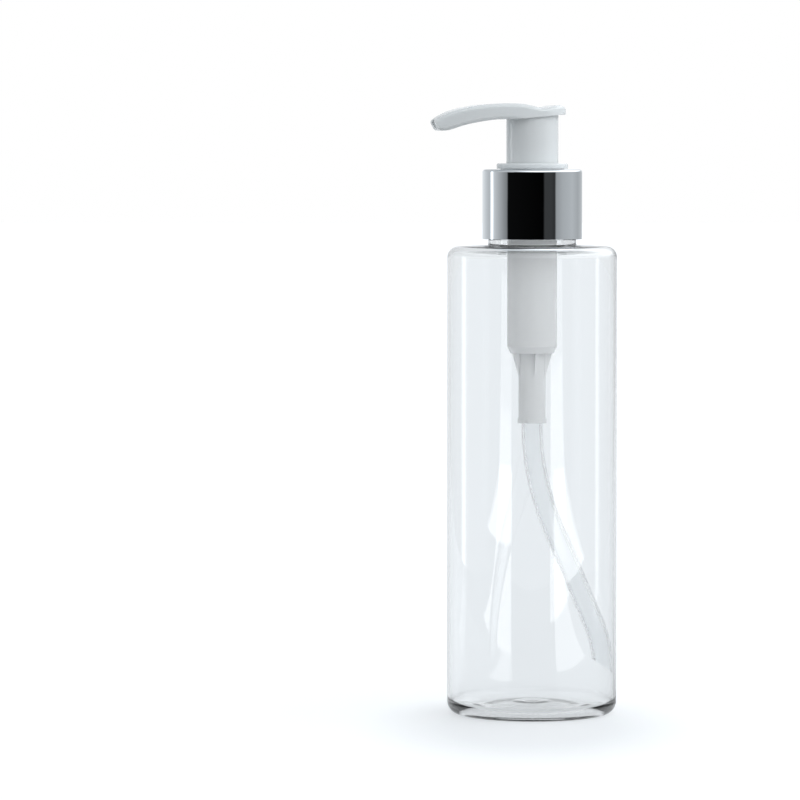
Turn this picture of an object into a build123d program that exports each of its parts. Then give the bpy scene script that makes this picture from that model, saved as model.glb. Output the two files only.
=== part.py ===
from build123d import *
import os
from math import atan2, degrees, sqrt

# A 200 ml clear bottle with a 24/410 lotion pump for massage oil.
# Millimetres, +Z up. The origin is the centre of the base, on the surface the bottle stands on.
# The spout points along -X.

# ---- bottle, driving sizes ----
BODY_R = 23.8            # outside radius of the body
BODY_H = 130.6           # floor to the outer corner of the shoulder
BODY_WALL = 0.8          # blown wall of the body
BASE_WALL = 1.4          # thickness of the base
HEEL_R = 3.4             # rounding from the side into the base
SHOULDER_R = 2.0         # rounding from the side into the shoulder
SHOULDER_RISE = 1.2      # the shoulder slopes up this much to the neck
PUSH_UP = 2.4            # the middle of the base stands this far off the floor
PUSH_UP_BOW = 0.78       # share of the push-up left half way to the standing ring
STAND_R = 17.0           # inner radius of the ring the bottle stands on

# ---- neck finish, 24/410 ----
NECK_H = 16.8            # shoulder to the sealing face
BEAD_R = 12.3            # plain column under the threads
BEAD_H = 1.8
THREAD_R = 12.0          # crest radius of the outside thread
NECK_ROOT_R = 10.8       # root radius of the outside thread
NECK_BORE_R = 9.45
THREAD_PITCH = 3.175     # eight threads to the inch
THREAD_TURNS = 1.5
THREAD_CREST_W = 1.0
THREAD_ROOT_W = 1.9
THREAD_TOP_GAP = 2.9     # sealing face to the middle of the highest thread
THREAD_SINK = 0.15       # the thread's root reaches this far into its wall
THREAD_CLEAR = 0.25      # radial clearance between the two threads

# ---- closure and its metal overshell ----
OVERSHELL_R = 14.0
OVERSHELL_WALL = 0.4
OVERSHELL_EDGE_R = 0.8
SKIRT_GAP = 1.7          # shoulder line to the overshell's lower edge
CLOSURE_RECESS = 0.4     # the closure ends this far above the overshell's lower edge
CLOSURE_TOP_T = 1.65
PRESS_GAP = 0.02         # between parts pressed or snapped together for good
TURN_GAP = 0.15          # axial play of the closure between the housing and the chaplet

# ---- gasket, housing flange, bell and cylinder ----
GASKET_T = 1.0
SEAT_GAP = 0.02          # sealing faces that meet at rest
FLANGE_T = 1.2
FLANGE_CLEAR = 0.6       # radial room for the flange and gasket inside the closure's thread
BELL_GAP = 0.25          # bell to neck bore
BELL_WALL = 0.6
BELL_H = 12.0            # flange underside to the bell's underside
BELL_FLOOR_T = 1.0
CYL_R = 7.0              # outside of the pump cylinder
CYL_WALL = 0.9
CYL_LEN = 34.2           # bell underside to the cylinder's lower corner
CYL_FLOOR_T = 1.0
CYL_TAPER_H = 1.9
VENT_R = 0.5
VENT_DROP = 3.2          # vent below the bell's underside
CAGE_R = 3.7             # core of the ball chamber
CAGE_LEN = 8.4           # cylinder corner to the top of the tube adaptor
CYL_FOOT_R = 6.1         # the cylinder's end, where the ribs begin
RIB_TOP_R = 5.7
RIB_T = 0.9
ADAPTOR_WALL = 0.85
ADAPTOR_LEN = 13.1
ADAPTOR_LIP = 0.25
ADAPTOR_LIP_H = 1.1

# ---- inlet valve ----
BALL_R = 2.4
BALL_LIFT = 1.2
SEAT_HOLE_R = 1.6
SEAT_RISE = 2.6          # top of the tube socket to the edge of the seat
CHAMBER_R = 3.1
VALVE_GAP = 0.05
RETAINER_T = 1.2
RETAINER_BAR = 0.9

# ---- dip tube ----
TUBE_R = 2.95
TUBE_WALL = 0.75
TUBE_IN = 11.0           # length pushed up into the adaptor
TUBE_TIP_Z = 13.5        # height of the middle of the cut end
TUBE_WALL_GAP = 0.1      # tip to the bottle's wall
TUBE_LEAN_R = 75.0       # bend out of the adaptor
TUBE_TIP_R = 30.0        # bend back along the wall
TUBE_CUT = 35.0          # the end is cut this many degrees off square
TUBE_AZIMUTH = -15.0     # the tube leans this way, degrees about Z from +X

# ---- chaplet, the white ring the head slides in ----
CHAPLET_R = 10.0
CHAPLET_T = 1.5
CHAPLET_NECK_GAP = 0.3
CHAPLET_FLOOR_T = 1.0
CHAPLET_EDGE = 0.3
SLEEVE_H = 10.6          # chaplet sleeve below its seat on the flange

# ---- moving core ----
STROKE = 11.5
HEAD_STOP_GAP = 0.8      # the head's underside stops this far above the chaplet
STEM_R = 3.5
STEM_BORE_R = 2.0
STEM_STOP_R = 4.4
STEM_STOP_T = 0.8
STEM_TAIL = 5.4          # stop ring's underside to the stem's lower end
ROD_R = 2.5
ROD_BORE_R = 1.5
ROD_PLUG = 12.0          # length of the rod inside the stem
ROD_SEAT_R = 4.6
ROD_SEAT_T = 2.0
ROD_TAIL_R = 2.2
ROD_TAIL = 10.0
ROD_PORT_H = 1.0
ROD_PORT_W = 2.4
SLIP = 1.0               # the piston slides this far on the stem before it follows
PISTON_FLOOR_T = 1.2
PISTON_FLOOR_BORE_R = 2.95
PISTON_CORE_R = 5.0
PISTON_LIP_H = 1.2
RUN_GAP = 0.06           # sliding fits
STEM_GUIDE_GAP = 0.12

# ---- spring ----
SPRING_R = 4.4           # mean radius
WIRE_R = 0.5
SPRING_TURNS = 8
END_GAP = 0.05

# ---- actuator ----
SKIRT_R = 7.3
SKIRT_WALL = 0.8
SKIRT_SLIDE_GAP = 0.15
SKIRT_IN = 1.1           # skirt left inside the chaplet
SOCKET_R = 4.7
SOCKET_LEN = 9.6
STEM_TOP_DROP = 3.6      # spout underside to the stem's top
HEAD_R = 8.2             # plan radius over the stem
HEAD_X = 1.2             # centre of that round
HEAD_RISE = 4.4          # top of the spout over its underside at the skirt
VALLEY_X = 1.4           # lowest place of the finger rest
VALLEY_DEPTH = 1.25
LIP_RISE = 1.3           # the rear lip's underside over the spout's
SPOUT_X = 29.0           # tip, from the axis
SPOUT_TIP_R = 2.9        # half width at the tip
SPOUT_DROP = 3.2         # the spout's lowest place under its root
TIP_DROP = 0.5           # upper edge of the tip under the spout's root
TIP_CUT = 1.5            # the mouth leans back this much to its lower edge
ROOF_DROP = 0.4          # inner roof of the skirt under the spout's root
CHANNEL_R = 1.25
CHANNEL_RISE = 1.4       # start of the channel over the spout's root
HEAD_EDGE_R = 1.0
SPOUT_UNDER_R = 1.0
LIP_EDGE_R = 0.35
# share of the spout's reach from the axis, and drop under the head's rise
CROWN_SHAPE = ((0.86, 2.6), (0.65, 0.9), (0.33, 0.0), (0.08, 0.55))
REAR_RUN = 3.4           # the lip starts to fall this far from the rear
REAR_RUN_DROP = 0.45
REAR_DROP = 1.6
# share of the spout's reach from the axis, and drop under the spout's root
UNDER_SHAPE = ((0.56, 0.7), (0.76, 2.1), (0.90, 3.2))
TIP_UNDER_RISE = 0.15
CHANNEL_MID = 0.45       # the channel is highest at this share of the spout's reach
CHANNEL_MID_RISE = 0.1

# ---- sizes that follow from their neighbours ----
cyl_bore_r = CYL_R - CYL_WALL
adaptor_r = TUBE_R + ADAPTOR_WALL
skirt_shown = STROKE + HEAD_STOP_GAP

# ---- heights that follow ----
neck_z = BODY_H + SHOULDER_RISE
finish_z = neck_z + NECK_H
flange_z = finish_z + SEAT_GAP + GASKET_T
chaplet_seat_z = flange_z + FLANGE_T
closure_under_z = chaplet_seat_z + TURN_GAP
closure_top_z = closure_under_z + CLOSURE_TOP_T
overshell_top_z = closure_top_z + OVERSHELL_WALL
chaplet_under_z = overshell_top_z + TURN_GAP
chaplet_top_z = chaplet_under_z + CHAPLET_T
overshell_z = neck_z + SKIRT_GAP
closure_z = overshell_z + CLOSURE_RECESS
bell_z = flange_z - BELL_H
cyl_z = bell_z - CYL_LEN
adaptor_top_z = cyl_z - CAGE_LEN
adaptor_z = adaptor_top_z - ADAPTOR_LEN
tube_top_z = adaptor_z + TUBE_IN
seat_z = tube_top_z + SEAT_RISE
ball_z = seat_z + BALL_R * sqrt(2) - SEAT_HOLE_R + VALVE_GAP * sqrt(2)
retainer_z = cyl_z + CYL_FLOOR_T
retainer_top_z = retainer_z + RETAINER_T
sleeve_z = chaplet_seat_z - SLEEVE_H
stop_top_z = sleeve_z - VALVE_GAP
stop_z = stop_top_z - STEM_STOP_T
stem_z = stop_z - STEM_TAIL
piston_floor_top_z = stem_z - SLIP
piston_z = piston_floor_top_z - PISTON_FLOOR_T
piston_top_z = stop_z - SLIP - VALVE_GAP
rod_seat_z = piston_z - VALVE_GAP
rod_seat_under_z = rod_seat_z - ROD_SEAT_T
spout_under_z = chaplet_top_z + skirt_shown
skirt_z = chaplet_top_z - SKIRT_IN
stem_top_z = spout_under_z - STEM_TOP_DROP
socket_z = spout_under_z - SOCKET_LEN

# ---- radii that follow ----
closure_r = OVERSHELL_R - OVERSHELL_WALL - PRESS_GAP
closure_thread_r = THREAD_R + THREAD_CLEAR
gasket_r = closure_thread_r - FLANGE_CLEAR
bell_r = NECK_BORE_R - BELL_GAP
sleeve_r = bell_r - BELL_WALL - PRESS_GAP
chaplet_neck_r = sleeve_r + CHAPLET_NECK_GAP
closure_hole_r = chaplet_neck_r + CHAPLET_NECK_GAP
thread_rise = THREAD_PITCH * THREAD_TURNS


def revolve_outline(*points):
    """A ring whose half section joins these (radius, height) points by straight lines."""
    with BuildSketch(Plane.XZ) as half_section:
        with BuildLine():
            Polyline(*points, close=True)
        make_face()
    revolve(half_section.sketch, axis=Axis.Z)


def add_thread(root_r, crest_r, start_z):
    """A right-handed trapezoid thread; root_r < crest_r stands outwards, else inwards."""
    out = 1 if crest_r > root_r else -1
    with BuildLine(Plane.XY.offset(start_z)):
        turn = Helix(pitch=THREAD_PITCH, height=thread_rise, radius=root_r)
    with BuildSketch(Plane(origin=turn @ 0, x_dir=(1, 0, 0), z_dir=turn % 0)) as thread_section:
        with BuildLine():
            Polyline(
                (-out * THREAD_SINK, -THREAD_ROOT_W / 2),
                (abs(crest_r - root_r) * out, -THREAD_CREST_W / 2),
                (abs(crest_r - root_r) * out, THREAD_CREST_W / 2),
                (-out * THREAD_SINK, THREAD_ROOT_W / 2),
                close=True,
            )
        make_face()
    sweep(thread_section.sketch, path=turn.edge(), is_frenet=True)


# ---- bottle ----
with BuildPart() as bottle:
    with BuildSketch(Plane.XZ):
        with BuildLine():
            base = ThreePointArc((0, PUSH_UP), (STAND_R / 2, PUSH_UP * PUSH_UP_BOW), (STAND_R, 0))
            Line(base @ 1, (BODY_R - HEEL_R, 0))
            RadiusArc((BODY_R - HEEL_R, 0), (BODY_R, HEEL_R), -HEEL_R)
            Line((BODY_R, HEEL_R), (BODY_R, BODY_H - SHOULDER_R))
            RadiusArc((BODY_R, BODY_H - SHOULDER_R), (BODY_R - SHOULDER_R, BODY_H), -SHOULDER_R)
            Polyline(
                (BODY_R - SHOULDER_R, BODY_H),
                (BEAD_R, neck_z),
                (BEAD_R, neck_z + BEAD_H),
                (NECK_ROOT_R, neck_z + BEAD_H),
                (NECK_ROOT_R, finish_z),
                (0, finish_z),
                (0, PUSH_UP),
            )
        make_face()
    revolve(axis=Axis.Z)
    in_r = BODY_R - BODY_WALL
    in_heel = HEEL_R - BODY_WALL
    in_corner = SHOULDER_R - BODY_WALL
    in_floor = PUSH_UP + BASE_WALL
    with BuildSketch(Plane.XZ):
        with BuildLine():
            ThreePointArc((0, in_floor), (STAND_R / 2, BASE_WALL + PUSH_UP * PUSH_UP_BOW), (STAND_R, BASE_WALL))
            Line((STAND_R, BASE_WALL), (in_r - in_heel, BASE_WALL))
            RadiusArc((in_r - in_heel, BASE_WALL), (in_r, BASE_WALL + in_heel), -in_heel)
            Line((in_r, BASE_WALL + in_heel), (in_r, BODY_H - BODY_WALL - in_corner))
            RadiusArc(
                (in_r, BODY_H - BODY_WALL - in_corner),
                (in_r - in_corner, BODY_H - BODY_WALL),
                -in_corner,
            )
            Polyline(
                (in_r - in_corner, BODY_H - BODY_WALL),
                (NECK_BORE_R, neck_z - BODY_WALL),
                (NECK_BORE_R, finish_z),
                (0, finish_z),
                (0, in_floor),
            )
        make_face()
    revolve(axis=Axis.Z, mode=Mode.SUBTRACT)
    add_thread(NECK_ROOT_R, THREAD_R, finish_z - THREAD_TOP_GAP - thread_rise)
bottle.part.label = "bottle"

# ---- closure: the screw cap that holds the pump down ----
with BuildPart() as closure:
    revolve_outline(
        (closure_hole_r, closure_top_z),
        (closure_hole_r, closure_under_z),
        (closure_thread_r, closure_under_z),
        (closure_thread_r, closure_z),
        (closure_r, closure_z),
        (closure_r, closure_top_z),
    )
    chamfer(closure.edges().group_by(Axis.Z)[-1].sort_by(SortBy.RADIUS)[-1], OVERSHELL_WALL)
    add_thread(
        closure_thread_r,
        NECK_ROOT_R + THREAD_CLEAR,
        finish_z - THREAD_TOP_GAP - thread_rise - THREAD_PITCH / 2,
    )
closure.part.label = "closure"

# ---- overshell: the bright metal collar pressed over the closure ----
with BuildPart() as overshell:
    revolve_outline(
        (closure_hole_r, closure_top_z),
        (OVERSHELL_R - OVERSHELL_WALL, closure_top_z),
        (OVERSHELL_R - OVERSHELL_WALL, overshell_z),
        (OVERSHELL_R, overshell_z),
        (OVERSHELL_R, overshell_top_z),
        (closure_hole_r, overshell_top_z),
    )
    fillet(overshell.edges().group_by(Axis.Z)[-1].sort_by(SortBy.RADIUS)[-1], OVERSHELL_EDGE_R)
    inner_corner = overshell.edges().filter_by_position(
        Axis.Z, closure_top_z - VALVE_GAP, closure_top_z + VALVE_GAP
    )
    fillet(inner_corner.sort_by(SortBy.RADIUS)[-1], OVERSHELL_EDGE_R - OVERSHELL_WALL)
overshell.part.label = "overshell"

# ---- gasket ----
with BuildPart() as gasket:
    with BuildSketch(Plane.XY.offset(finish_z + SEAT_GAP)):
        Circle(gasket_r)
        Circle(NECK_BORE_R, mode=Mode.SUBTRACT)
    extrude(amount=GASKET_T)
gasket.part.label = "gasket"

# ---- housing: flange, bell, cylinder, ribbed ball chamber and tube adaptor in one moulding ----
with BuildPart() as housing:
    revolve_outline(
        (sleeve_r + PRESS_GAP, chaplet_seat_z),
        (gasket_r, chaplet_seat_z),
        (gasket_r, flange_z),
        (bell_r, flange_z),
        (bell_r, bell_z),
        (CYL_R, bell_z),
        (CYL_R, cyl_z),
        (CYL_FOOT_R, cyl_z - CYL_TAPER_H),
        (CAGE_R, cyl_z - CYL_TAPER_H),
        (CAGE_R, adaptor_top_z),
        (adaptor_r, adaptor_top_z),
        (adaptor_r, adaptor_z + ADAPTOR_LIP_H),
        (adaptor_r + ADAPTOR_LIP, adaptor_z + ADAPTOR_LIP_H),
        (adaptor_r + ADAPTOR_LIP, adaptor_z),
        (TUBE_R + PRESS_GAP, adaptor_z),
        (TUBE_R + PRESS_GAP, tube_top_z),
        (SEAT_HOLE_R, tube_top_z),
        (SEAT_HOLE_R, seat_z),
        (CHAMBER_R, seat_z + CHAMBER_R - SEAT_HOLE_R),
        (CHAMBER_R, retainer_z),
        (cyl_bore_r, retainer_z),
        (cyl_bore_r, bell_z + BELL_FLOOR_T),
        (sleeve_r + PRESS_GAP, bell_z + BELL_FLOOR_T),
    )
    # four tapered ribs: one each side of the chamber, on two planes at right angles
    with BuildSketch(Plane.XZ, Plane.YZ):
        with BuildLine():
            Polyline(
                (CAGE_R - PRESS_GAP, cyl_z - CYL_TAPER_H),
                (RIB_TOP_R, cyl_z - CYL_TAPER_H),
                (adaptor_r, adaptor_top_z),
                (CAGE_R - PRESS_GAP, adaptor_top_z),
                close=True,
            )
        make_face()
        mirror(about=Plane.YZ)
    extrude(amount=RIB_T / 2, both=True)
    with BuildSketch(Plane.YZ):
        with Locations((0, bell_z - VENT_DROP)):
            Circle(VENT_R)
    extrude(amount=CYL_R + PRESS_GAP, mode=Mode.SUBTRACT)
housing.part.label = "housing"

# ---- ball retainer: spring seat with a cross bar that limits the ball's lift ----
with BuildPart() as ball_retainer:
    with BuildSketch(Plane.XY.offset(retainer_z)):
        Circle(cyl_bore_r - PRESS_GAP)
        Circle(CHAMBER_R, mode=Mode.SUBTRACT)
        Rectangle(2 * CHAMBER_R + RETAINER_BAR, RETAINER_BAR)
        Rectangle(RETAINER_BAR, 2 * CHAMBER_R + RETAINER_BAR)
    extrude(amount=RETAINER_T)
    with BuildSketch(Plane.XY.offset(retainer_z)):
        Circle(RETAINER_BAR)
    extrude(amount=-(retainer_z - ball_z - BALL_R - BALL_LIFT - VALVE_GAP))
ball_retainer.part.label = "ball_retainer"

# ---- inlet ball ----
with BuildPart(Plane.XY.offset(ball_z)) as inlet_ball:
    Sphere(BALL_R)
inlet_ball.part.label = "inlet_ball"

# ---- dip tube ----
lean_sum = TUBE_LEAN_R + TUBE_TIP_R
reach = BODY_R - BODY_WALL - TUBE_WALL_GAP - TUBE_R
drop = adaptor_z - TUBE_TIP_Z
tube_run = sqrt(reach**2 - 2 * reach * lean_sum + drop**2)
lean = degrees(atan2(reach - lean_sum, drop) + atan2(lean_sum, tube_run))
tube_plane = Plane.XZ.rotated((0, 0, TUBE_AZIMUTH))
with BuildPart() as dip_tube:
    with BuildLine(tube_plane) as tube_route:
        socket_run = Line((0, tube_top_z), (0, adaptor_z))
        lean_out = JernArc(socket_run @ 1, socket_run % 1, TUBE_LEAN_R, lean)
        middle_run = Line(lean_out @ 1, lean_out @ 1 + (lean_out % 1) * tube_run)
        lean_back = JernArc(middle_run @ 1, middle_run % 1, TUBE_TIP_R, -lean)
        Line(lean_back @ 1, lean_back @ 1 + (lean_back % 1) * TUBE_R)
    with BuildSketch(Plane.XY.offset(tube_top_z)):
        Circle(TUBE_R)
        Circle(TUBE_R - TUBE_WALL, mode=Mode.SUBTRACT)
    sweep(path=tube_route.wire())
    tip = lean_back @ 1
    split(
        bisect_by=Plane(origin=tip, z_dir=(0, 0, 1)).rotated((0, TUBE_CUT, TUBE_AZIMUTH)),
        keep=Keep.TOP,
    )
dip_tube.part.label = "dip_tube"

# ---- chaplet: sleeve snapped into the bell, with the stem's guide in its floor ----
with BuildPart() as chaplet:
    revolve_outline(
        (SKIRT_R + SKIRT_SLIDE_GAP, chaplet_top_z),
        (CHAPLET_R, chaplet_top_z),
        (CHAPLET_R, chaplet_under_z),
        (chaplet_neck_r, chaplet_under_z),
        (chaplet_neck_r, chaplet_seat_z),
        (sleeve_r, chaplet_seat_z),
        (sleeve_r, sleeve_z),
        (STEM_R + STEM_GUIDE_GAP, sleeve_z),
        (STEM_R + STEM_GUIDE_GAP, sleeve_z + CHAPLET_FLOOR_T),
        (SKIRT_R + SKIRT_SLIDE_GAP, sleeve_z + CHAPLET_FLOOR_T),
    )
    chamfer(chaplet.edges().group_by(Axis.Z)[-1].sort_by(SortBy.RADIUS)[-1], CHAPLET_EDGE)
chaplet.part.label = "chaplet"

# ---- stem: hollow tube from the piston up into the head ----
with BuildPart() as stem:
    revolve_outline(
        (STEM_BORE_R, stem_top_z),
        (STEM_R, stem_top_z),
        (STEM_R, stop_top_z),
        (STEM_STOP_R, stop_top_z),
        (STEM_STOP_R, stop_z),
        (STEM_R, stop_z),
        (STEM_R, stem_z),
        (ROD_R + PRESS_GAP, stem_z),
        (ROD_R + PRESS_GAP, rod_seat_z + ROD_PLUG),
        (STEM_BORE_R, rod_seat_z + ROD_PLUG),
    )
stem.part.label = "stem"

# ---- piston rod: plug pressed into the stem, with the outlet valve's seat and ports ----
with BuildPart() as piston_rod:
    revolve_outline(
        (0, rod_seat_under_z - ROD_TAIL),
        (ROD_TAIL_R, rod_seat_under_z - ROD_TAIL),
        (ROD_TAIL_R, rod_seat_under_z),
        (ROD_SEAT_R, rod_seat_under_z),
        (ROD_SEAT_R, rod_seat_z),
        (ROD_R, rod_seat_z),
        (ROD_R, rod_seat_z + ROD_PLUG),
        (ROD_BORE_R, rod_seat_z + ROD_PLUG),
        (ROD_BORE_R, rod_seat_z),
        (0, rod_seat_z),
    )
    with BuildSketch(Plane.YZ):
        with Locations((0, piston_z + PISTON_FLOOR_T / 2)):
            Rectangle(ROD_PORT_W, ROD_PORT_H)
    extrude(amount=ROD_R + PRESS_GAP, both=True, mode=Mode.SUBTRACT)
piston_rod.part.label = "piston_rod"

# ---- piston: two lips that wipe the cylinder, loose on the stem by the slip ----
with BuildPart() as piston:
    wipe_r = cyl_bore_r - RUN_GAP
    revolve_outline(
        (STEM_R + RUN_GAP, piston_top_z),
        (PISTON_CORE_R, piston_top_z),
        (wipe_r, piston_top_z),
        (wipe_r, piston_top_z - PISTON_LIP_H),
        (PISTON_CORE_R, piston_top_z - PISTON_LIP_H),
        (PISTON_CORE_R, piston_z + PISTON_LIP_H),
        (wipe_r, piston_z + PISTON_LIP_H),
        (wipe_r, piston_z),
        (PISTON_FLOOR_BORE_R, piston_z),
        (PISTON_FLOOR_BORE_R, piston_floor_top_z),
        (STEM_R + RUN_GAP, piston_floor_top_z),
    )
piston.part.label = "piston"

# ---- return spring, with a closed coil at each end ----
spring_z = retainer_top_z + END_GAP + WIRE_R
spring_top_z = rod_seat_under_z - END_GAP - WIRE_R
with BuildPart() as spring:
    with BuildLine(Plane.XY.offset(spring_z)):
        coil = Helix(
            pitch=(spring_top_z - spring_z) / SPRING_TURNS,
            height=spring_top_z - spring_z,
            radius=SPRING_R,
        )
    with BuildSketch(Plane(origin=coil @ 0, z_dir=coil % 0)):
        Circle(WIRE_R)
    sweep(path=coil.edge(), is_frenet=True)
    for end_z in (spring_z, spring_top_z):
        with BuildSketch(Plane.XZ):
            with Locations((SPRING_R, end_z)):
                Circle(WIRE_R)
        revolve(axis=Axis.Z)
spring.part.label = "spring"

# ---- actuator: head, spout, skirt and stem socket in one moulding ----
rear_x = HEAD_X + HEAD_R
head_z = spout_under_z + HEAD_RISE
spout_low_z = spout_under_z - SPOUT_DROP
lip_z = spout_under_z + LIP_RISE
roof_z = spout_under_z - ROOF_DROP
channel_z = spout_under_z + CHANNEL_RISE
with BuildPart() as actuator:
    # side view: a bowed spout, a shallow valley for the finger and a rounded rear lip
    with BuildSketch(Plane.XZ):
        with BuildLine():
            crown = Spline(
                (-SPOUT_X, spout_under_z - TIP_DROP),
                *[(-SPOUT_X * share, head_z - fall) for share, fall in CROWN_SHAPE],
                (VALLEY_X, head_z - VALLEY_DEPTH),
                (rear_x - REAR_RUN, head_z - REAR_RUN_DROP),
                (rear_x, head_z - REAR_DROP),
            )
            Line(crown @ 1, (rear_x, lip_z + LIP_EDGE_R))
            RadiusArc((rear_x, lip_z + LIP_EDGE_R), (rear_x - LIP_EDGE_R, lip_z), LIP_EDGE_R)
            Polyline(
                (rear_x - LIP_EDGE_R, lip_z),
                (SKIRT_R, lip_z),
                (-SKIRT_R, spout_under_z),
            )
            under = Spline(
                (-SKIRT_R, spout_under_z),
                *[(-SPOUT_X * share, spout_under_z - fall) for share, fall in UNDER_SHAPE],
                (-SPOUT_X + TIP_CUT, spout_low_z + TIP_UNDER_RISE),
            )
            Line(under @ 1, crown @ 0)
        make_face()
    extrude(amount=HEAD_R, both=True)
    # plan view: a leaf that narrows to the tip
    with BuildSketch(Plane.XY.offset(spout_under_z - HEAD_R)):
        with BuildLine():
            rear = ThreePointArc((HEAD_X, HEAD_R), (rear_x, 0), (HEAD_X, -HEAD_R))
            side = TangentArc(rear @ 1, (-SPOUT_X, -SPOUT_TIP_R), tangent=rear % 1)
            Line(side @ 1, (-SPOUT_X, SPOUT_TIP_R))
            mirror(side, about=Plane.XZ)
        make_face()
    extrude(amount=2 * HEAD_R + HEAD_RISE, mode=Mode.INTERSECT)
    top_face = actuator.faces().sort_by(Axis.Z)[-1]
    fillet(top_face.edges(), HEAD_EDGE_R)
    spout_edges = actuator.edges().filter_by_position(
        Axis.X, -SPOUT_X + TIP_CUT - PRESS_GAP, -SKIRT_R + PRESS_GAP
    )
    fillet(spout_edges.filter_by(lambda edge: edge.center().Z < spout_under_z), SPOUT_UNDER_R)
    # skirt, stem socket and the liquid's way
    with BuildSketch(Plane.XY.offset(skirt_z)):
        Circle(SKIRT_R)
    extrude(amount=lip_z - skirt_z)
    with BuildSketch(Plane.XY.offset(skirt_z)):
        Circle(SKIRT_R - SKIRT_WALL)
    extrude(amount=roof_z - skirt_z, mode=Mode.SUBTRACT)
    with BuildSketch(Plane.XY.offset(socket_z)):
        Circle(SOCKET_R)
    extrude(amount=roof_z - socket_z)
    with BuildSketch(Plane.XY.offset(socket_z)):
        Circle(STEM_R + PRESS_GAP)
    extrude(amount=stem_top_z - socket_z, mode=Mode.SUBTRACT)
    with BuildSketch(Plane.XY.offset(stem_top_z)):
        Circle(STEM_BORE_R)
    extrude(amount=channel_z - stem_top_z, mode=Mode.SUBTRACT)
    with BuildLine(Plane.XZ):
        channel = ThreePointArc(
            (0, channel_z),
            (-SPOUT_X * CHANNEL_MID, channel_z + CHANNEL_MID_RISE),
            (-SPOUT_X - CHANNEL_R, spout_low_z + CHANNEL_R),
        )
    with BuildSketch(Plane(origin=channel @ 0, z_dir=channel % 0)):
        Circle(CHANNEL_R)
    sweep(path=channel.edge(), mode=Mode.SUBTRACT)
actuator.part.label = "actuator"

os.makedirs("parts", exist_ok=True)
pieces = (
    bottle, closure, overshell, gasket, housing, ball_retainer, inlet_ball,
    dip_tube, chaplet, stem, piston_rod, piston, spring, actuator,
)
for piece in pieces:
    export_step(piece.part, f"parts/{piece.part.label}.step")
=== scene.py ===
# %% [markdown]
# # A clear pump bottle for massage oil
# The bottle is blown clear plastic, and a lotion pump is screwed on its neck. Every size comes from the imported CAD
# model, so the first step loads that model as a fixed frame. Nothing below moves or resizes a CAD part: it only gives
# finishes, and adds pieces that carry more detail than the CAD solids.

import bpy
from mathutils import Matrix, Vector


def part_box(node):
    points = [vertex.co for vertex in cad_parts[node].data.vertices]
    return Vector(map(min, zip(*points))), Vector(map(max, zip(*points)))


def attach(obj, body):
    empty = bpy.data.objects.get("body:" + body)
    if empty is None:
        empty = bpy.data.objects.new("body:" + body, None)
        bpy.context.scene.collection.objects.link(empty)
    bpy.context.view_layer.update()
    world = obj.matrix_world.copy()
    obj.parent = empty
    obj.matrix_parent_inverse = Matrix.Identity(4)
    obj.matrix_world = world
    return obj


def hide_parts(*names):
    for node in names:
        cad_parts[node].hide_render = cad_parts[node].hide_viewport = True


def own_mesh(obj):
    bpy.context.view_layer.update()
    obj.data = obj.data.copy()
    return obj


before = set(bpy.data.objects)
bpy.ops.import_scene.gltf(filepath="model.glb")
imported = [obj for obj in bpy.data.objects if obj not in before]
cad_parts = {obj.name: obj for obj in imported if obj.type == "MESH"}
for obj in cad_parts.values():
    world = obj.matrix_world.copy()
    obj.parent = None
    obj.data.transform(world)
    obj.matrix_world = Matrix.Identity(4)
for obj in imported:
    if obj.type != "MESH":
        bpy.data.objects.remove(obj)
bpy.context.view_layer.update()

# %% The other tools
from math import cos, pi, radians, sin

import bpy
from mathutils import Vector

MM = 0.001
print("pieces in the frame:", sorted(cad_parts))

# %% [markdown]
# ## Camera
# A long lens from about a metre and a quarter keeps the sides of the bottle almost parallel, as in product pictures.
# The camera stands a little above the pump's collar and looks slightly down, so that the base shows as a thin
# ellipse. It could be aimed with a Track To constraint, but plain angles are easier to read and to change.

# %% Where the camera stands
TURN = radians(15)          # the camera is turned this far about the bottle from a square side view
CAMERA_DISTANCE = 1.28
CAMERA_HEIGHT = 0.154
LOOK_DOWN = radians(2.94)
LOOK_LEFT = radians(1.66)   # the bottle stands right of the middle of the picture
LENS, SENSOR = 205.2, 36    # millimetres

toward_camera = Vector((-sin(TURN), -cos(TURN), 0))
to_the_right = Vector((cos(TURN), -sin(TURN), 0))

camera_data = bpy.data.cameras.new("camera")
camera_data.lens = LENS
camera_data.sensor_width = SENSOR
camera_data.clip_start, camera_data.clip_end = 0.05, 50
camera = bpy.data.objects.new("camera", camera_data)
bpy.context.scene.collection.objects.link(camera)
camera.location = toward_camera * CAMERA_DISTANCE + Vector((0, 0, CAMERA_HEIGHT))
camera.rotation_euler = (radians(90) - LOOK_DOWN, 0, LOOK_LEFT - TURN)
bpy.context.scene.camera = camera
bpy.context.scene.view_settings.view_transform = "Standard"
print("camera at", [round(value, 3) for value in camera.location])

# %% [markdown]
# ## Studio
# Clear plastic and bright metal have no look of their own: they show the room. The room here is a white backdrop,
# a dark space on the camera's side, grey sides and one narrow bright strip on the left. It could be built from
# planes and lamps, but a world shader that chooses its brightness from the direction does the same with no noise.

# %% Small helpers for node trees
def add_node(tree, kind, **settings):
    """Adds a node and sets its plain properties, such as its operation."""
    node = tree.nodes.new(kind)
    for name, value in settings.items():
        setattr(node, name, value)
    return node


def plug(tree, start, end):
    """Joins an output to an input."""
    tree.links.new(start, end)


def give(tree, value, socket):
    """Gives a socket an output or a plain value."""
    if isinstance(value, bpy.types.NodeSocket):
        plug(tree, value, socket)
    elif value is not None:
        socket.default_value = value


def math_node(tree, operation, *values):
    """One step of arithmetic on outputs or numbers. Gives its output."""
    node = add_node(tree, "ShaderNodeMath", operation=operation)
    for socket, value in zip(node.inputs, values):
        give(tree, value, socket)
    return node.outputs[0]


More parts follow.
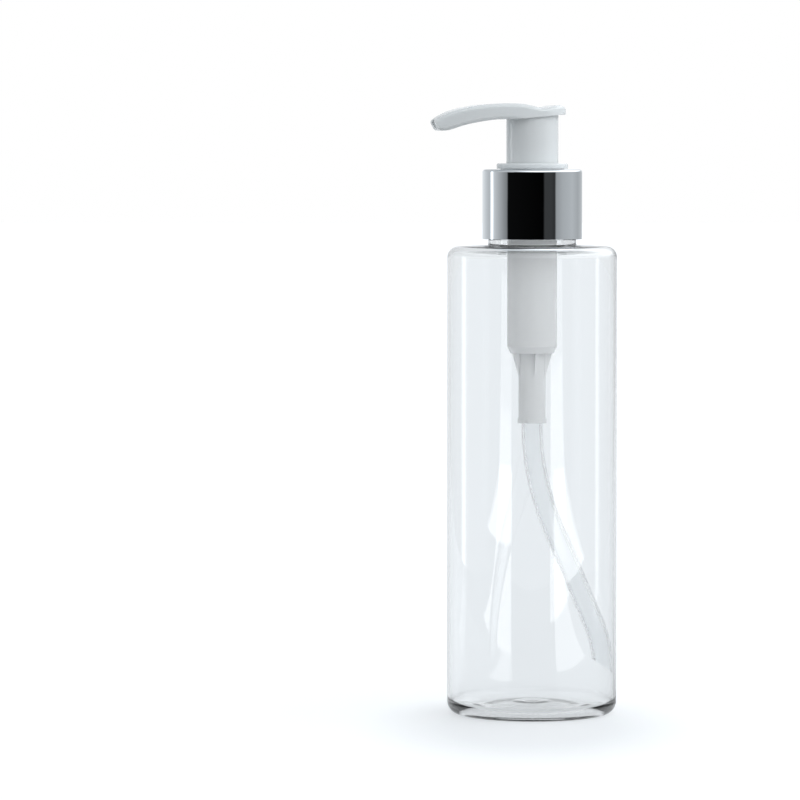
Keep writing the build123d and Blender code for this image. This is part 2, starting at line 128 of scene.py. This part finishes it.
def along(tree, vector, axis):
    """How far a vector points along an axis."""
    node = add_node(tree, "ShaderNodeVectorMath", operation="DOT_PRODUCT")
    plug(tree, vector, node.inputs[0])
    node.inputs[1].default_value = axis
    return node.outputs["Value"]


def smooth_step(tree, value, low, high, at_low, at_high):
    """Goes smoothly from one number to another while a value goes from low to high."""
    node = add_node(tree, "ShaderNodeMapRange", interpolation_type="SMOOTHSTEP")
    for socket, number in zip(node.inputs, (value, low, high, at_low, at_high)):
        give(tree, number, socket)
    return node.outputs[0]


def mix_colours(tree, first, second, factor, blend_type="MIX"):
    """Two colours mixed by a factor, each an output or a plain value."""
    node = add_node(tree, "ShaderNodeMix", data_type="RGBA", blend_type=blend_type)
    for socket, value in ((node.inputs["Factor"], factor), (node.inputs[6], first), (node.inputs[7], second)):
        give(tree, value, socket)
    return node.outputs[2]


def brightness_round(tree, vector, stops):
    """Brightness by the vector's turn, in degrees from the camera's side, positive to the right."""
    turn = math_node(tree, "ARCTAN2", along(tree, vector, to_the_right), along(tree, vector, toward_camera))
    share = math_node(tree, "MULTIPLY_ADD", turn, 1 / radians(360), 0.5)
    ramp = add_node(tree, "ShaderNodeValToRGB")
    plug(tree, share, ramp.inputs[0])
    elements = ramp.color_ramp.elements
    while len(elements) < len(stops):
        elements.new(0.5)
    for element, (angle, grey) in zip(elements, stops):
        element.position = angle / 360 + 0.5
        element.color = (grey, grey, grey, 1)
    return ramp.outputs["Color"]


print("node helpers ready")

# %% The room's brightness round the horizon
# Degrees from the camera's side, positive to the right, and the brightness there.
ROOM = (
    (-180, 0.93), (-168, 0.92), (-150, 0.84), (-122, 0.60), (-113, 0.58), (-110, 2.40), (-105, 2.40), (-102, 0.80),
    (-94, 0.64), (-68, 0.33), (-61, 0.26), (-58, 0.004), (26, 0.001), (29, 0.05), (44, 0.05), (54, 0.035),
    (57, 0.38), (75, 0.50), (105, 0.58), (130, 0.48), (160, 0.62), (172, 0.93), (180, 0.93),
)
world = bpy.data.worlds.new("studio")
bpy.context.scene.world = world
world.use_nodes = True
tree = world.node_tree
tree.nodes.clear()
direction = add_node(tree, "ShaderNodeTexCoord").outputs["Generated"]
light = brightness_round(tree, direction, ROOM)
print("room has", len(ROOM), "stops")

# %% [markdown]
# Above the horizon the room's stripes would make the white plastic streaky, so they fade into a soft fill light that
# comes mostly from the right, and higher up into a plain ceiling. A ray that has been through several clear walls
# sees a lighter room: real studios are full of bounced light that a simple world lacks, and the glassy corners would
# go black without it.

# %% Fill light, ceiling and bounced light
FILL_STRONG, FILL_WEAK = 2.3, 0.62
FILL_TURN = radians(68)                                     # the strong side, to the right of the camera
FILL_FADE = -0.6, 0.9                                       # weak here, strong there, along the strong side
FILL_RISE = sin(radians(6)), sin(radians(18))
CEILING = (0.6, 0.6, 0.6, 1)
CEILING_RISE = sin(radians(40)), sin(radians(60))
BOUNCED = (0.8, 0.8, 0.8, 1)                                # the least light that a deep ray sees
DEEP = 3.5                                                  # walls passed before a ray counts as deep
ROOM_TONE = (0.945, 0.975, 1.0, 1)                          # the studio's light is slightly cool

strong_side = toward_camera * cos(FILL_TURN) + to_the_right * sin(FILL_TURN)
fill = smooth_step(tree, along(tree, direction, strong_side), *FILL_FADE, FILL_WEAK, FILL_STRONG)
upwards = along(tree, direction, (0, 0, 1))
light = mix_colours(tree, light, fill, smooth_step(tree, upwards, *FILL_RISE, 0, 1))
light = mix_colours(tree, light, CEILING, smooth_step(tree, upwards, *CEILING_RISE, 0, 1))
path = add_node(tree, "ShaderNodeLightPath")
deep_ray = math_node(tree, "GREATER_THAN", path.outputs["Ray Depth"], DEEP)
light = mix_colours(tree, light, BOUNCED, deep_ray, "LIGHTEN")
light = mix_colours(tree, light, ROOM_TONE, 1.0, "MULTIPLY")
print("fill light is strongest", round(FILL_TURN / radians(1)), "degrees to the right")

# %% The backdrop that the camera sees directly
studio_light = add_node(tree, "ShaderNodeBackground")
plug(tree, light, studio_light.inputs["Color"])
backdrop = add_node(tree, "ShaderNodeBackground")
backdrop.inputs["Color"].default_value = (1, 1, 1, 1)
chooser = add_node(tree, "ShaderNodeMixShader")
plug(tree, path.outputs["Is Camera Ray"], chooser.inputs[0])
plug(tree, studio_light.outputs[0], chooser.inputs[1])
plug(tree, backdrop.outputs[0], chooser.inputs[2])
plug(tree, chooser.outputs[0], add_node(tree, "ShaderNodeOutputWorld").inputs["Surface"])
print("backdrop is white")

# %% [markdown]
# ## Table
# The bottle stands on a plain white table, lit evenly from above and slightly from inside. One plane is enough. It
# ends a forearm's length in front of the bottle and runs far back, so that the clear wall shows white behind it.

# %% The white table
TABLE_FRONT, TABLE_BACK = 0.30, 11.0
TABLE_HALF_WIDTH = 0.32       # at its front edge
FAR_WIDENING = 8              # the back edge is this many times wider again


def deselect_all():
    """Nothing selected, in object mode."""
    if bpy.context.object and bpy.context.object.mode != "OBJECT":
        bpy.ops.object.mode_set(mode="OBJECT")
    bpy.ops.object.select_all(action="DESELECT")


deselect_all()
middle = toward_camera * (TABLE_FRONT - TABLE_BACK) / 2
bpy.ops.mesh.primitive_plane_add(size=1, location=middle, rotation=(0, 0, -TURN))
table = bpy.context.object
table.name = "table"
table.scale = (2 * TABLE_HALF_WIDTH, TABLE_FRONT + TABLE_BACK, 1)
bpy.ops.object.transform_apply(location=True, rotation=True, scale=True)
for corner in table.data.vertices:
    if corner.co.dot(toward_camera) < 0:
        corner.co += to_the_right * corner.co.dot(to_the_right) * FAR_WIDENING
table_finish = bpy.data.materials.new("white_table")
table_finish.use_nodes = True
table_tree = table_finish.node_tree
top = table_tree.nodes["Principled BSDF"]
top.inputs["Roughness"].default_value = 0.6
top.inputs["Specular IOR Level"].default_value = 0.1
top.inputs["Emission Color"].default_value = ROOM_TONE
table.data.materials.append(table_finish)
print("table is", TABLE_FRONT + TABLE_BACK, "m deep")

# %% [markdown]
# The clear wall reflects the table as well as the room, so to reflected rays the table is as dark as the room on
# each side. The camera sees it white, with a soft shade in front of the bottle's foot.

# %% The table's brightness to each kind of ray
# Degrees from the camera's side, and the brightness there.
TABLE_ROUND = (
    (-180, 0.92), (-125, 0.92), (-113, 0.92), (-104, 0.95), (-96, 0.55), (-62, 0.40), (-28, 0.32), (-26, 0.02),
    (29, 0.02), (31, 0.32), (60, 0.35), (110, 0.50), (140, 0.60), (160, 0.92), (180, 0.92),
)
TABLE_TONE = (0.46, 0.47, 0.48, 1)
TABLE_BOUNCED = 0.92                      # the least that a deep ray sees
FOOT_R = 0.034                            # metres from the bottle's axis, always bright under it
BLACK = (0, 0, 0, 1)
on_table = add_node(table_tree, "ShaderNodeTexCoord").outputs["Object"]
path = add_node(table_tree, "ShaderNodeLightPath")
seen = path.outputs["Is Camera Ray"]
deep_ray = math_node(table_tree, "GREATER_THAN", path.outputs["Ray Depth"], DEEP)
away = add_node(table_tree, "ShaderNodeVectorMath", operation="LENGTH")
plug(table_tree, on_table, away.inputs[0])
under_bottle = math_node(table_tree, "LESS_THAN", away.outputs["Value"], FOOT_R)
# Painted shade and light: to rays other than the camera's, the table's colour and glow are darkened by direction,
# standing for the dark room on the camera's side. Under the bottle they stay bright as a painted pool of light.
brightness = math_node(table_tree, "MAXIMUM", seen, brightness_round(table_tree, on_table, TABLE_ROUND))
bounced = math_node(table_tree, "MULTIPLY", deep_ray, TABLE_BOUNCED)
brightness = math_node(table_tree, "MAXIMUM", brightness, bounced)
brightness = math_node(table_tree, "MAXIMUM", brightness, under_bottle)
plug(table_tree, mix_colours(table_tree, BLACK, TABLE_TONE, brightness), top.inputs["Base Color"])
print("table reflects with", len(TABLE_ROUND), "stops")

# %% The painted shadow at the foot
TABLE_GLOW, CAMERA_GLOW, FOOT_GLOW = 0.47, 0.16, 0.0
SHADE_EDGE = 0.028, 0.092                 # metres from the middle of the shade, full and gone
SHADE_AHEAD, SHADE_NARROWER = 0.036, 1.7  # the shade lies a little in front, and is deeper than wide
aside = math_node(table_tree, "MULTIPLY", along(table_tree, on_table, to_the_right), SHADE_NARROWER)
ahead = math_node(table_tree, "SUBTRACT", along(table_tree, on_table, toward_camera), SHADE_AHEAD)
squares = [math_node(table_tree, "MULTIPLY", value, value) for value in (aside, ahead)]
from_middle = math_node(table_tree, "SQRT", math_node(table_tree, "ADD", *squares))
# Painted shadow: the table's glow to camera rays is turned down near the bottle's foot, which paints the soft shade
# there.
shade = smooth_step(table_tree, from_middle, *SHADE_EDGE, FOOT_GLOW, CAMERA_GLOW)
glow = math_node(table_tree, "MULTIPLY", brightness, TABLE_GLOW)
glow = math_node(table_tree, "ADD", glow, math_node(table_tree, "MULTIPLY", seen, shade))
plug(table_tree, glow, top.inputs["Emission Strength"])
print("shade is", 2 * SHADE_EDGE[1], "m deep")

# %% [markdown]
# ## White cards
# White cards lie on the table in front of the bottle, one on the left and two on the right. Their reflections make
# the soft white patches low on the clear wall, and they brighten the front of the pump. Area lamps stand in for them.

# %% The cards as area lamps
CARD_LIFT = Vector((0, 0, 0.002))


def add_card(name, inner_edge, outwards, near, far, width, brightness):
    """A lamp that lies on the table. Its inner edge points at the bottle, at an angle from the camera's side."""
    lamp = bpy.data.lights.new(name, "AREA")
    lamp.shape = "RECTANGLE"
    lamp.size, lamp.size_y = width, far - near
    lamp.energy = brightness * pi * width * (far - near)
    card = bpy.data.objects.new(name, lamp)
    bpy.context.scene.collection.objects.link(card)
    angle = radians(inner_edge)
    ahead = toward_camera * cos(angle) + to_the_right * sin(angle)
    aside = (to_the_right * cos(angle) - toward_camera * sin(angle)) * outwards
    card.location = ahead * (near + far) / 2 + aside * width / 2 + CARD_LIFT
    card.rotation_euler = (pi, 0, ahead.to_2d().angle_signed(Vector((0, 1))))
    card.visible_camera = False
    print(name, "lies", near, "to", far, "m away")


add_card("card_left", -27, -1, 0.48, 1.18, 0.34, 2.2)
add_card("card_right", 30, 1, 0.30, 1.12, 0.30, 2.2)
add_card("card_right_near", 30, 1, 0.09, 0.30, 0.08, 1.2)

# %% [markdown]
# ## Clear bottle
# The real bottle is blown: a hot tube of plastic is swollen against a mould, so its wall is even along the side and
# thicker at the base, and the neck, which holds the pump, is the only part moulded to exact size. A lathe shape with
# an inner and an outer wall gives exactly that. A Screw modifier could turn a profile, but building it ring by ring
# shows each height, and every corner can then be rounded with its own bevel.

# %% Ring by ring
SIDES = 160
JOIN = 0.001 * MM       # points closer than this are one
bottle_low, bottle_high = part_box("bottle")
body_r = bottle_high.x
finish_z = bottle_high.z
print("bottle is", round(2 * body_r / MM, 2), "mm across and", round(finish_z / MM, 2), "mm high")


def edit(piece):
    """Goes into edit mode on one piece."""
    deselect_all()
    bpy.context.view_layer.objects.active = piece
    piece.select_set(True)
    bpy.ops.object.mode_set(mode="EDIT")


def object_mode():
    bpy.ops.object.mode_set(mode="OBJECT")


def next_ring(radius, height, last_radius, last_height):
    """Draws the selected ring out to a new radius and height."""
    bpy.ops.mesh.extrude_region_move(TRANSFORM_OT_translate={"value": (0, 0, height - last_height)})
    share = radius / last_radius
    bpy.ops.transform.resize(value=(share, share, 1), center_override=(0, 0, 0))


def select_where(piece, test, kind="EDGE"):
    """Selects the edges or faces whose every corner passes a test of (radius, height)."""
    bpy.ops.mesh.select_mode(type=kind)
    bpy.ops.mesh.select_all(action="DESELECT")
    object_mode()
    corners = piece.data.vertices
    chosen = [test(corner.co.to_2d().length, corner.co.z) for corner in corners]
    items = piece.data.edges if kind == "EDGE" else piece.data.polygons
    for item in items:
        item.select = all(chosen[index] for index in item.vertices)
    bpy.ops.object.mode_set(mode="EDIT")


print("ring helpers ready")

# %% The outer and the inner wall, from the middle of the base round to the middle of the floor
WALL, FLOOR_T = 0.8 * MM, 1.4 * MM
PUSH_UP = 2.4 * MM
STEP_IN, STEP_IN_Z = 11.0 * MM, PUSH_UP - 0.85 * MM       # the stepped dome's step, inside and outside
STEP_OUT, STEP_OUT_Z = 11.5 * MM, PUSH_UP - 1.2 * MM
STAND_R, STAND_Z = 17.0 * MM, 0.1 * MM                    # inner edge of the ring that it stands on
FLOOR_IN, FLOOR_IN_Z = 15.5 * MM, FLOOR_T + 0.9 * MM      # the floor's own step
FLOOR_OUT, FLOOR_OUT_Z = 17.5 * MM, FLOOR_T + 0.15 * MM
SHOULDER_Z, NECK_Z = 131.35 * MM, 131.8 * MM
BEAD_R, BEAD_Z, ROOT_R, BORE_R = 12.3 * MM, 133.6 * MM, 10.8 * MM, 9.45 * MM
inner_r = body_r - WALL
RINGS = [
    # underside: a small moulding mark, a stepped dome and the ring that it stands on
    (1.5 * MM, PUSH_UP - 0.25 * MM), (2.0 * MM, PUSH_UP), (6.0 * MM, PUSH_UP - 0.2 * MM),
    (STEP_IN, STEP_IN_Z), (STEP_OUT, STEP_OUT_Z), (14.5 * MM, PUSH_UP - 1.65 * MM),
    (STAND_R, STAND_Z), (18.0 * MM, 0.0),
    # outside, up to the sealing face
    (body_r, 0.0), (body_r, SHOULDER_Z), (BEAD_R, NECK_Z), (BEAD_R, BEAD_Z), (ROOT_R, BEAD_Z), (ROOT_R, finish_z),
    # inside, down to the floor
    (BORE_R, finish_z), (BORE_R, NECK_Z - WALL), (inner_r, SHOULDER_Z - WALL), (inner_r, FLOOR_T),
    (FLOOR_OUT, FLOOR_OUT_Z), (FLOOR_IN, FLOOR_IN_Z), (10.0 * MM, PUSH_UP + 0.9 * MM),
    (5.0 * MM, PUSH_UP + FLOOR_T - 0.15 * MM), (0.5 * MM, PUSH_UP + FLOOR_T),
]
deselect_all()
first_r, first_z = RINGS[0]
bpy.ops.mesh.primitive_circle_add(vertices=SIDES, radius=first_r, fill_type="TRIFAN", location=(0, 0, first_z))
clear_bottle = bpy.context.object
clear_bottle.name = "clear_bottle"
bpy.ops.object.transform_apply(location=True, rotation=True, scale=True)
edit(clear_bottle)
select_where(clear_bottle, lambda radius, z: radius > first_r / 2)
for (last_r, last_z), (radius, z) in zip(RINGS, RINGS[1:]):
    next_ring(radius, z, last_r, last_z)
bpy.ops.mesh.merge(type="CENTER")
bpy.ops.mesh.select_all(action="SELECT")
bpy.ops.mesh.remove_doubles(threshold=JOIN)
bpy.ops.mesh.normals_make_consistent(inside=False)
print("clear_bottle has", len(RINGS), "rings of", SIDES)

# %% Every corner rounded as blown plastic rounds it
NEAR = 0.02 * MM
# Radius and height of the corner, then its rounding and the segments of the bevel.
CORNERS = (
    (body_r, 0.0, 3.4 * MM, 9), (inner_r, FLOOR_T, 3.6 * MM, 9), (body_r, SHOULDER_Z, 2.9 * MM, 9),
    (inner_r, SHOULDER_Z - WALL, 2.3 * MM, 8), (BEAD_R, NECK_Z, 0.45 * MM, 4), (BEAD_R, BEAD_Z, 0.5 * MM, 4),
    (ROOT_R, BEAD_Z, 0.3 * MM, 3), (ROOT_R, finish_z, 0.25 * MM, 3), (BORE_R, finish_z, 0.25 * MM, 3),
    (BORE_R, NECK_Z - WALL, 0.8 * MM, 5), (FLOOR_IN, FLOOR_IN_Z, 0.8 * MM, 4),
    (FLOOR_OUT, FLOOR_OUT_Z, 0.8 * MM, 4), (STAND_R, STAND_Z, 0.5 * MM, 3),
    (STEP_IN, STEP_IN_Z, 0.2 * MM, 2), (STEP_OUT, STEP_OUT_Z, 0.2 * MM, 2),
)
for corner_r, corner_z, rounding, segments in CORNERS:
    select_where(
        clear_bottle, lambda radius, z: abs(radius - corner_r) < NEAR and abs(z - corner_z) < NEAR
    )
    bpy.ops.mesh.bevel(offset=rounding, offset_type="OFFSET", segments=segments, affect="EDGES", clamp_overlap=True)
object_mode()
print("clear_bottle has", len(clear_bottle.data.polygons), "faces after", len(CORNERS), "bevels")

# %% [markdown]
# ## Neck thread
# The thread is one ridge that climbs one and a half turns. A Screw modifier turns its section and lifts it at the
# same time, which is how a thread is defined. The ridge is then joined to the neck with a Boolean, as one moulding.

# %% One and a half turns of ridge
PITCH, TURNS = 3.175 * MM, 1.5
CREST_R = 12.0 * MM
RIDGE_FOOT, RIDGE_TOP = 1.9 * MM, 1.0 * MM
TOP_GAP = 2.9 * MM              # sealing face to the middle of the highest ridge
EXTRA = 0.4 * MM                # half of it sinks the ridge's foot into the neck, half rounds up its crest
THREAD_Z = finish_z - TOP_GAP - PITCH * TURNS
deselect_all()
middle_r = (CREST_R + ROOT_R) / 2
bpy.ops.mesh.primitive_plane_add(size=1, location=(middle_r, 0, THREAD_Z), rotation=(radians(90), 0, 0))
ridge = bpy.context.object
ridge.name = "neck_thread"
ridge.scale = (CREST_R - ROOT_R + EXTRA, RIDGE_FOOT, 1)
bpy.ops.object.transform_apply(location=True, rotation=True, scale=True)
edit(ridge)
select_where(ridge, lambda radius, z: radius > middle_r)
bpy.ops.transform.resize(value=(1, 1, RIDGE_TOP / RIDGE_FOOT), center_override=(0, 0, THREAD_Z))
object_mode()
screw = ridge.modifiers.new("climb", "SCREW")
screw.angle = 2 * pi * TURNS
screw.screw_offset = PITCH * TURNS
screw.steps = screw.render_steps = 96
screw.use_merge_vertices = False
bpy.ops.object.modifier_apply(modifier=screw.name)
print("ridge has", len(ridge.data.polygons), "faces")

# %% The ridge's ends closed, and the ridge joined to the neck
edit(ridge)
bpy.ops.mesh.select_all(action="SELECT")
bpy.ops.mesh.remove_doubles(threshold=JOIN)
bpy.ops.mesh.select_mode(type="EDGE")
bpy.ops.mesh.select_all(action="DESELECT")
bpy.ops.mesh.select_non_manifold()
bpy.ops.mesh.edge_face_add()
bpy.ops.mesh.select_all(action="SELECT")
bpy.ops.mesh.normals_make_consistent(inside=False)
object_mode()
union = clear_bottle.modifiers.new("thread", "BOOLEAN")
union.operation = "UNION"
union.solver = "EXACT"
union.object = ridge
deselect_all()
bpy.context.view_layer.objects.active = clear_bottle
clear_bottle.select_set(True)
bpy.ops.object.modifier_apply(modifier=union.name)
bpy.data.objects.remove(ridge)
bpy.ops.object.shade_smooth_by_angle(angle=radians(35))
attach(clear_bottle, "bottle")
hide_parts("bottle")
print("clear_bottle has", len(clear_bottle.data.polygons), "faces with its thread")

# %% [markdown]
# ## Return spring
# The spring that lifts the head is wound from steel wire, with its end turns lying flat against each other so that it
# stands straight. It is drawn out of one round wire end, a few degrees at a time, and the rise of each step says
# whether the turns are closed or open.

# %% Wire drawn round and up
spring_low, spring_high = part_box("spring")
WIRE_R = 0.5 * MM
coil_r = spring_high.x - WIRE_R
STEPS = 20                      # steps to a turn
CLOSED_TURNS, OPEN_TURNS = 0.9, 6.2
closed_rise = 2.04 * WIRE_R / STEPS
room_to_rise = spring_high.z - spring_low.z - 2 * WIRE_R
open_steps = round(OPEN_TURNS * STEPS)
closed_steps = round(CLOSED_TURNS * STEPS)
open_rise = (room_to_rise - 2 * closed_steps * closed_rise) / open_steps
deselect_all()
bpy.ops.mesh.primitive_circle_add(
    vertices=10, radius=WIRE_R, fill_type="NGON", location=(coil_r, 0, spring_low.z + WIRE_R),
    rotation=(radians(90), 0, 0),
)
spring = bpy.context.object
spring.name = "return_spring"
bpy.ops.object.transform_apply(location=True, rotation=True, scale=True)
edit(spring)
for step in range(2 * closed_steps + open_steps):
    closed = step < closed_steps or step >= closed_steps + open_steps
    bpy.ops.mesh.extrude_region_move(
        TRANSFORM_OT_translate={"value": (0, 0, closed_rise if closed else open_rise)}
    )
    bpy.ops.transform.rotate(value=-2 * pi / STEPS, orient_axis="Z", center_override=(0, 0, 0))
bpy.ops.mesh.select_all(action="SELECT")
bpy.ops.mesh.remove_doubles(threshold=JOIN)
bpy.ops.mesh.normals_make_consistent(inside=False)
object_mode()
bpy.ops.object.shade_smooth_by_angle(angle=radians(50))
print("return_spring has", len(spring.data.polygons), "faces and is", round(spring.dimensions.z / MM, 2), "mm high")

# %% The spring's place in the pump
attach(spring, "pump_engine")
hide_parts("spring")
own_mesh(spring)

# %% [markdown]
# ## Effects that several finishes share
# Moulded plastic is never one flat colour: it flows into the mould in soft clouds, and its skin is slightly uneven.
# Handled surfaces carry faint smudges that only show in how sharply they reflect. Each effect is a node group, made
# once, and every material places it with its own values.

# %% A group with named sockets
def new_group(name, inputs, outputs):
    """A shader node group with these (name, kind, value) inputs and (name, kind) outputs."""
    group = bpy.data.node_groups.new(name, "ShaderNodeTree")
    for socket, kind, value in inputs:
        made = group.interface.new_socket(name=socket, in_out="INPUT", socket_type=kind)
        if value is not None:
            made.default_value = value
    for socket, kind in outputs:
        group.interface.new_socket(name=socket, in_out="OUTPUT", socket_type=kind)
    return group, add_node(group, "NodeGroupInput"), add_node(group, "NodeGroupOutput")


def noise(tree, where, scale, detail):
    """Soft random clouds, 0 to 1."""
    node = add_node(tree, "ShaderNodeTexNoise")
    plug(tree, where, node.inputs["Vector"])
    if isinstance(scale, bpy.types.NodeSocket):
        plug(tree, scale, node.inputs["Scale"])
    else:
        node.inputs["Scale"].default_value = scale
    node.inputs["Detail"].default_value = detail
    return node.outputs[0]


print("group helper ready")

# %% Moulded skin: clouds in the colour, unevenness in the gloss, a fine relief
FLOAT, COLOUR, VECTOR = "NodeSocketFloat", "NodeSocketColor", "NodeSocketVector"
skin, skin_in, skin_out = new_group(
    "moulded_skin",
    [
        ("Place", VECTOR, None), ("Light Tone", COLOUR, (0.8, 0.8, 0.8, 1)), ("Dark Tone", COLOUR, (0.7, 0.7, 0.7, 1)),
        ("Cloud Scale", FLOAT, 60.0), ("Gloss", FLOAT, 0.3), ("Gloss Change", FLOAT, 0.08),
        ("Grain Scale", FLOAT, 2500.0),
    ],
    [("Colour", COLOUR), ("Roughness", FLOAT), ("Height", FLOAT)],
)
clouds = noise(skin, skin_in.outputs["Place"], skin_in.outputs["Cloud Scale"], 3)
grain = noise(skin, skin_in.outputs["Place"], skin_in.outputs["Grain Scale"], 2)
tones = add_node(skin, "ShaderNodeMix", data_type="RGBA")
plug(skin, clouds, tones.inputs["Factor"])
plug(skin, skin_in.outputs["Dark Tone"], tones.inputs[6])
plug(skin, skin_in.outputs["Light Tone"], tones.inputs[7])
plug(skin, tones.outputs[2], skin_out.inputs["Colour"])
change = math_node(skin, "MULTIPLY", math_node(skin, "SUBTRACT", clouds, 0.5), skin_in.outputs["Gloss Change"])
plug(skin, math_node(skin, "ADD", change, skin_in.outputs["Gloss"]), skin_out.inputs["Roughness"])
plug(skin, math_node(skin, "ADD", math_node(skin, "MULTIPLY", grain, 0.3), clouds), skin_out.inputs["Height"])
print("moulded_skin has", len(skin.nodes), "nodes")

# %% Smudges: handled gloss, and the slow ripple of a formed wall
smudge, smudge_in, smudge_out = new_group(
    "handling_smudge",
    [
        ("Place", VECTOR, None), ("Clean Roughness", FLOAT, 0.02), ("Smudged Roughness", FLOAT, 0.1),
        ("Smudge Scale", FLOAT, 45.0), ("Ripple Scale", FLOAT, 30.0),
    ],
    [("Roughness", FLOAT), ("Height", FLOAT)],
)
patches = noise(smudge, smudge_in.outputs["Place"], smudge_in.outputs["Smudge Scale"], 5)
where_touched = add_node(smudge, "ShaderNodeMapRange", interpolation_type="SMOOTHSTEP")
plug(smudge, patches, where_touched.inputs["Value"])
where_touched.inputs["From Min"].default_value = 0.52
where_touched.inputs["From Max"].default_value = 0.78
plug(smudge, smudge_in.outputs["Clean Roughness"], where_touched.inputs["To Min"])
plug(smudge, smudge_in.outputs["Smudged Roughness"], where_touched.inputs["To Max"])
plug(smudge, where_touched.outputs[0], smudge_out.inputs["Roughness"])
ripple = noise(smudge, smudge_in.outputs["Place"], smudge_in.outputs["Ripple Scale"], 1)
plug(smudge, ripple, smudge_out.inputs["Height"])
print("handling_smudge has", len(smudge.nodes), "nodes")

# %% [markdown]
# ## Finishes
# Each finish is one Principled shader. What is the same all over is set on its own sockets, and only what changes
# over the surface comes from a group. Object coordinates are used, so that the pattern is fixed to the piece.

# %% A finish and its shared parts
def new_finish(name, **values):
    """A material whose shader has these plain values. Gives it, its tree, its shader and the place on the piece."""
    finish = bpy.data.materials.new(name)
    finish.use_nodes = True
    tree = finish.node_tree
    shader = tree.nodes["Principled BSDF"]
    for socket, value in values.items():
        shader.inputs[socket.replace("_", " ")].default_value = value
    place = add_node(tree, "ShaderNodeTexCoord").outputs["Object"]
    return finish, tree, shader, place


def place_group(tree, group, place, **values):
    """Places a node group in a material, on the piece's own coordinates."""
    node = add_node(tree, "ShaderNodeGroup")
    node.node_tree = group
    plug(tree, place, node.inputs["Place"])
    for socket, value in values.items():
        node.inputs[socket.replace("_", " ")].default_value = value
    return node


def relief(tree, height, shader, depth):
    """Turns a height from 0 to 1 into a bump of this depth in metres."""
    bump = add_node(tree, "ShaderNodeBump")
    bump.inputs["Strength"].default_value = 1.0
    bump.inputs["Distance"].default_value = depth
    plug(tree, height, bump.inputs["Height"])
    plug(tree, bump.outputs[0], shader.inputs["Normal"])


def wear(finish, *nodes):
    """Gives CAD nodes this finish, in the material slot that they already have."""
    for name in nodes:
        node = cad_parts[name]
        if not node.material_slots:
            node.data.materials.append(finish)
        for slot in node.material_slots:
            slot.material = finish
    print(finish.name, "on", ", ".join(nodes))


print("finish helpers ready")

# %% Clear blown plastic
clear_pet, tree, shader, place = new_finish(
    "clear_blown_plastic",
    Base_Color=(0.985, 0.99, 0.992, 1), Transmission_Weight=1.0, IOR=1.49,
)
touched = place_group(
    tree, smudge, place,
    Clean_Roughness=0.012, Smudged_Roughness=0.03, Smudge_Scale=40.0, Ripple_Scale=22.0,
)
plug(tree, touched.outputs["Roughness"], shader.inputs["Roughness"])
relief(tree, touched.outputs["Height"], shader, 0.03 * MM)
clear_bottle.data.materials.append(clear_pet)
print(clear_pet.name, "on", clear_bottle.name)

# %% Milky moulded plastic of the head, the ring and the cap
def moulded(name, light, dark, gloss, scatter, reach=5.0, clear=0.0, depth=0.01, cloud=55.0):
    """White or natural moulded plastic: light goes a little way in and comes out softened."""
    finish, tree, shader, place = new_finish(
        name,
        Subsurface_Weight=scatter, Subsurface_Radius=(1.0, 1.0, 1.0), Subsurface_Scale=reach * MM,
        Transmission_Weight=clear, IOR=1.49, Specular_IOR_Level=0.5,
    )
    surface = place_group(
        tree, skin, place,
        Light_Tone=(*light, 1), Dark_Tone=(*dark, 1), Cloud_Scale=cloud, Gloss=gloss, Gloss_Change=0.08,
        Grain_Scale=2600.0,
    )
    plug(tree, surface.outputs["Colour"], shader.inputs["Base Color"])
    plug(tree, surface.outputs["Roughness"], shader.inputs["Roughness"])
    relief(tree, surface.outputs["Height"], shader, depth * MM)
    return finish


milky = moulded("milky_plastic", (0.78, 0.805, 0.815), (0.735, 0.765, 0.775), 0.09, 0.5, reach=1.5)
wear(milky, "actuator", "chaplet")
wear(moulded("white_cap_plastic", (0.965, 0.97, 0.97), (0.94, 0.95, 0.95), 0.2, 0.4, reach=1.5), "closure")
natural = moulded("natural_plastic", (0.985, 0.99, 0.995), (0.96, 0.975, 0.98), 0.15, 0.6, reach=1.0, clear=0.12)
wear(natural, "housing", "ball_retainer", "stem", "piston_rod", "piston")
sealing_foam = moulded("sealing_foam", (0.86, 0.86, 0.84), (0.78, 0.78, 0.76), 0.8, 0.2, depth=0.08, cloud=900.0)
wear(sealing_foam, "gasket")

# %% Soft translucent tube
tube_finish, tree, shader, place = new_finish(
    "translucent_tube",
    Transmission_Weight=0.97, IOR=1.22,
)
surface = place_group(
    tree, skin, place,
    Light_Tone=(0.995, 0.998, 1.0, 1), Dark_Tone=(0.975, 0.985, 0.99, 1), Cloud_Scale=70.0, Gloss=0.2,
    Gloss_Change=0.06, Grain_Scale=1800.0,
)
plug(tree, surface.outputs["Colour"], shader.inputs["Base Color"])
plug(tree, surface.outputs["Roughness"], shader.inputs["Roughness"])
relief(tree, surface.outputs["Height"], shader, 0.01 * MM)
wear(tube_finish, "dip_tube")

# %% Bright metal collar, spring and ball
def metal(name, tone, clean, smudged, ripple_depth, ripple_scale):
    """Polished metal that is only uneven in how sharply it reflects, and very slightly rippled."""
    finish, tree, shader, place = new_finish(name, Base_Color=(*tone, 1), Metallic=1.0)
    touched = place_group(
        tree, smudge, place,
        Clean_Roughness=clean, Smudged_Roughness=smudged, Smudge_Scale=90.0, Ripple_Scale=ripple_scale,
    )
    plug(tree, touched.outputs["Roughness"], shader.inputs["Roughness"])
    relief(tree, touched.outputs["Height"], shader, ripple_depth * MM)
    return finish


wear(metal("bright_collar", (0.765, 0.80, 0.83), 0.03, 0.06, 0.02, 120.0), "overshell")
spring.data.materials.append(metal("spring_wire", (0.66, 0.66, 0.67), 0.18, 0.3, 0.005, 600.0))
wear(metal("ball_steel", (0.72, 0.72, 0.73), 0.05, 0.1, 0.002, 300.0), "inlet_ball")
